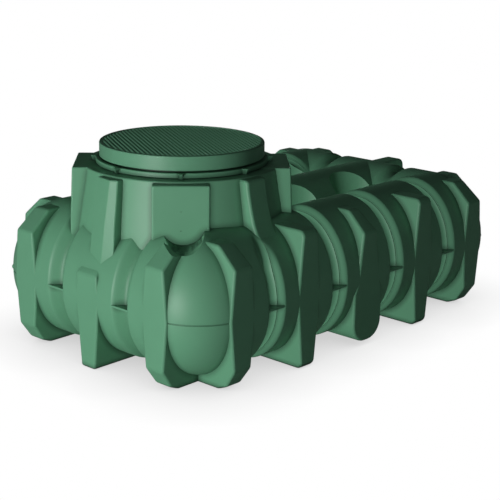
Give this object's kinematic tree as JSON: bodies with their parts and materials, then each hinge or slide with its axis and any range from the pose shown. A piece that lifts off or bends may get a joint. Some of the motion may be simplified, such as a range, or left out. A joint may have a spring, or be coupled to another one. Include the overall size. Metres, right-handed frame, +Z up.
{
  "type": "underground water tank",
  "caption": "Flat ribbed plastic tank for burying, with a domed manhole neck, a flat pipe panel and a round ribbed lid resting on the neck.",
  "frame": {"origin": "on the plane of the feet, under the middle of the tank", "axes": "+X along the tank away from the neck, +Y across it, +Z up"},
  "size_m": [2.1, 1.3, 0.891],
  "materials": {
    "tank_shell": "satin, fine grain",
    "lid": "satin, fine grain"
  },
  "bodies": {
    "root": {"tank_shell": "tank_shell", "lid": "lid"}
  },
  "joints": []
}
